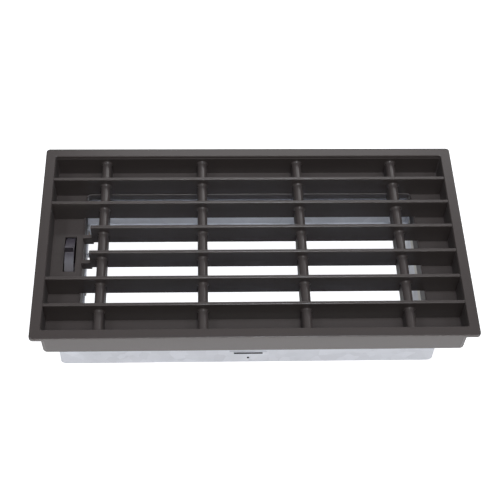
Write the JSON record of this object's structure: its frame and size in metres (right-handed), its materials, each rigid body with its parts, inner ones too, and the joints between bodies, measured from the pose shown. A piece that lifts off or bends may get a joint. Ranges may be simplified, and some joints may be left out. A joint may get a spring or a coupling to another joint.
{
  "type": "ceiling grille",
  "caption": "Recessed ceiling grille with long slats and cross bars over a sheet-metal damper box, whose linked blades are turned by a thumbwheel beside the air opening.",
  "frame": {"origin": "middle of the bounding box in plan, level with the lower edge of the damper box, on which the object stands", "axes": "+X along the face, away from the thumbwheel; +Y across the face, towards the back of the picture; +Z out of the face towards the room"},
  "size_m": [0.2808, 0.1552, 0.0703],
  "materials": {
    "face_plastic": "fine-textured moulded plastic, warm dark grey",
    "wheel_plastic": "smooth moulded nylon, near black",
    "nylon": "natural nylon",
    "galvanised_sheet": "galvanised sheet with a fine spangle",
    "shaft_steel": "zinc-plated round bar",
    "spring_steel": "oiled spring steel",
    "felt": "pressed grey felt"
  },
  "bodies": {
    "frame": {"grille": "face_plastic", "lattice": "face_plastic", "front_plate": "galvanised_sheet", "back_plate": "galvanised_sheet", "left_end_plate": "galvanised_sheet", "right_end_plate": "galvanised_sheet", "bearing_plate": "galvanised_sheet", "bearing_strip_left": "nylon", "bearing_strip_right": "nylon", "friction_washer": "felt", "axle_bushing": "nylon"},
    "wheel": {"thumbwheel": "wheel_plastic", "wheel_axle": "shaft_steel", "drive_crank": "nylon", "axle_clip": "spring_steel"},
    "damper_blade_1": {"blade_1": "galvanised_sheet", "shaft_1": "shaft_steel", "crank_1": "nylon"},
    "damper_blade_2": {"blade_2": "galvanised_sheet", "shaft_2": "shaft_steel", "crank_2": "nylon"},
    "damper_blade_3": {"blade_3": "galvanised_sheet", "shaft_3": "shaft_steel", "crank_3": "nylon"},
    "damper_blade_4": {"blade_4": "galvanised_sheet", "shaft_4": "shaft_steel", "crank_4": "nylon"},
    "link": {"link_bar": "galvanised_sheet"}
  },
  "joints": [
    {"name": "wheel_turn", "type": "hinge", "parent": "frame", "child": "wheel", "pos_m": [-0.1212, 0, 0.0337], "axis": [1, 0, 0], "range_deg": [-28.93, 33.06]},
    {"name": "blade_1_turn", "type": "hinge", "parent": "frame", "child": "damper_blade_1", "pos_m": [0, -0.0376, 0.0337], "axis": [1, 0, 0], "range_deg": [-42, 48]},
    {"name": "blade_2_turn", "type": "hinge", "parent": "frame", "child": "damper_blade_2", "pos_m": [0, -0.01253, 0.0337], "axis": [1, 0, 0], "range_deg": [-42, 48]},
    {"name": "blade_3_turn", "type": "hinge", "parent": "frame", "child": "damper_blade_3", "pos_m": [0, 0.01253, 0.0337], "axis": [1, 0, 0], "range_deg": [-42, 48]},
    {"name": "blade_4_turn", "type": "hinge", "parent": "frame", "child": "damper_blade_4", "pos_m": [0, 0.0376, 0.0337], "axis": [1, 0, 0], "range_deg": [-42, 48]},
    {"name": "link_pivot", "type": "hinge", "parent": "damper_blade_2", "child": "link", "pos_m": [-0.113, -0.01295, 0.02571], "axis": [1, 0, 0], "range_deg": [-48, 42]}
  ],
  "couplings": [
    {"joint": "blade_1_turn", "follows": "wheel_turn", "ratio": 1.4516},
    {"joint": "blade_2_turn", "follows": "wheel_turn", "ratio": 1.4516},
    {"joint": "blade_3_turn", "follows": "wheel_turn", "ratio": 1.4516},
    {"joint": "blade_4_turn", "follows": "wheel_turn", "ratio": 1.4516},
    {"joint": "link_pivot", "follows": "wheel_turn", "ratio": -1.4516}
  ]
}
